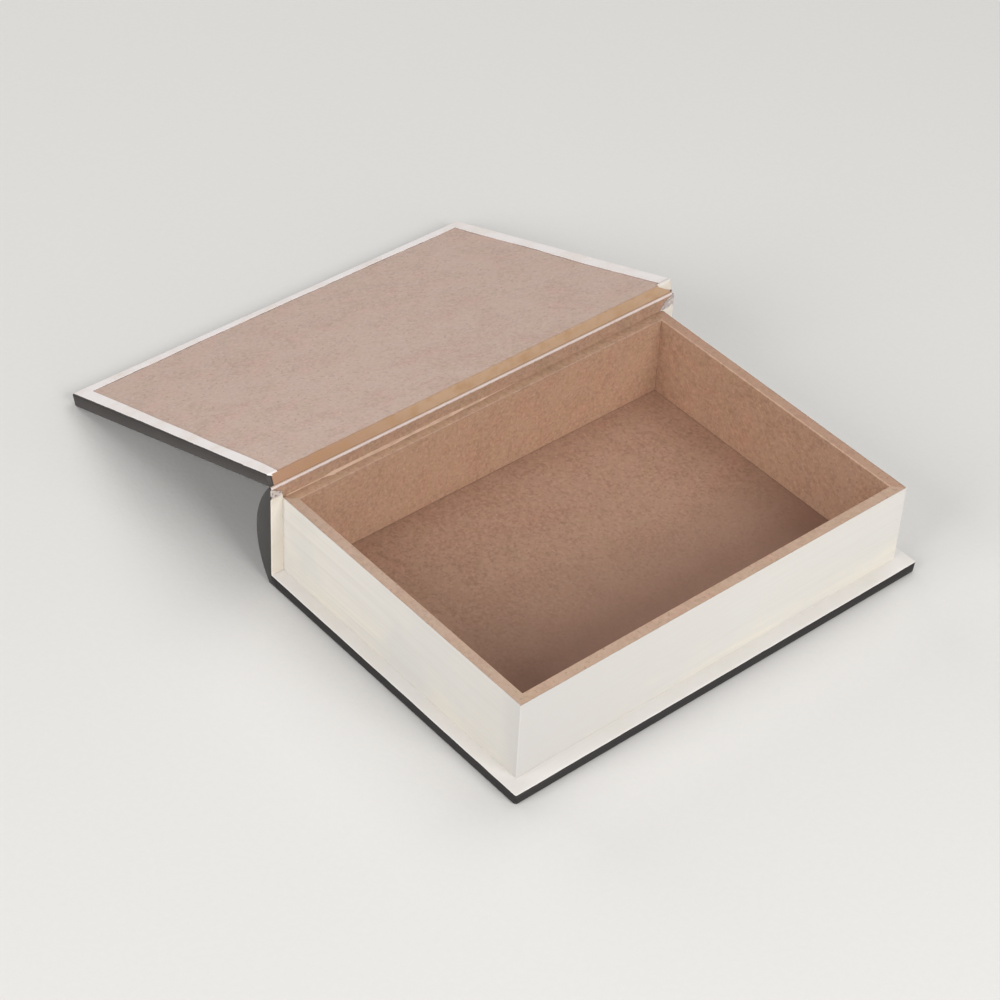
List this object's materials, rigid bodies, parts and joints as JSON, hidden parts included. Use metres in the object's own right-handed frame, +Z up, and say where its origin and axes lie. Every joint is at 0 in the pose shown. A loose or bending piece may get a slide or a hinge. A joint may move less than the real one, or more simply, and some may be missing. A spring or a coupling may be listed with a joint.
{
  "type": "book-shaped storage box",
  "caption": "Fibreboard storage tray made as a closed book: a round-backed spine, page-edge papers and a covered lid that folds right back on a cloth hinge.",
  "frame": {"origin": "middle of the lower cover's underside, on the table", "axes": "+X across the book from spine to fore edge, +Y along the spine from head to tail, +Z up"},
  "size_m": [0.3735, 0.27, 0.0716],
  "materials": {
    "wall_board": "matte",
    "floor_board": "matte",
    "lid_board": "matte",
    "spine_board": "matte",
    "dark_covering": "satin",
    "white_flap": "matte",
    "hinge_strip": "matte",
    "page_paper": "matte"
  },
  "bodies": {
    "case": {"base_board": "floor_board", "head_wall": "wall_board", "tail_wall": "wall_board", "fore_edge_wall": "wall_board", "spine_wall": "wall_board", "head_pages": "page_paper", "tail_pages": "page_paper", "fore_edge_pages": "page_paper", "spine_board": "spine_board", "base_cover_cloth": "dark_covering", "base_turn_in_head": "white_flap", "base_turn_in_tail": "white_flap", "base_turn_in_fore_edge": "white_flap", "spine_cover_cloth": "dark_covering", "spine_turn_in_head": "white_flap", "spine_turn_in_tail": "white_flap", "hinge_cloth": "hinge_strip"},
    "lid": {"lid_board": "lid_board", "lid_cover_cloth": "dark_covering", "lid_turn_in_head": "white_flap", "lid_turn_in_tail": "white_flap", "lid_turn_in_fore_edge": "white_flap"}
  },
  "joints": [
    {"name": "lid_hinge", "type": "hinge", "parent": "case", "child": "lid", "pos_m": [-0.0952, 0, 0.0642], "axis": [0, 1, 0], "range_deg": [0, 200], "deforming": ["hinge_cloth"]}
  ]
}
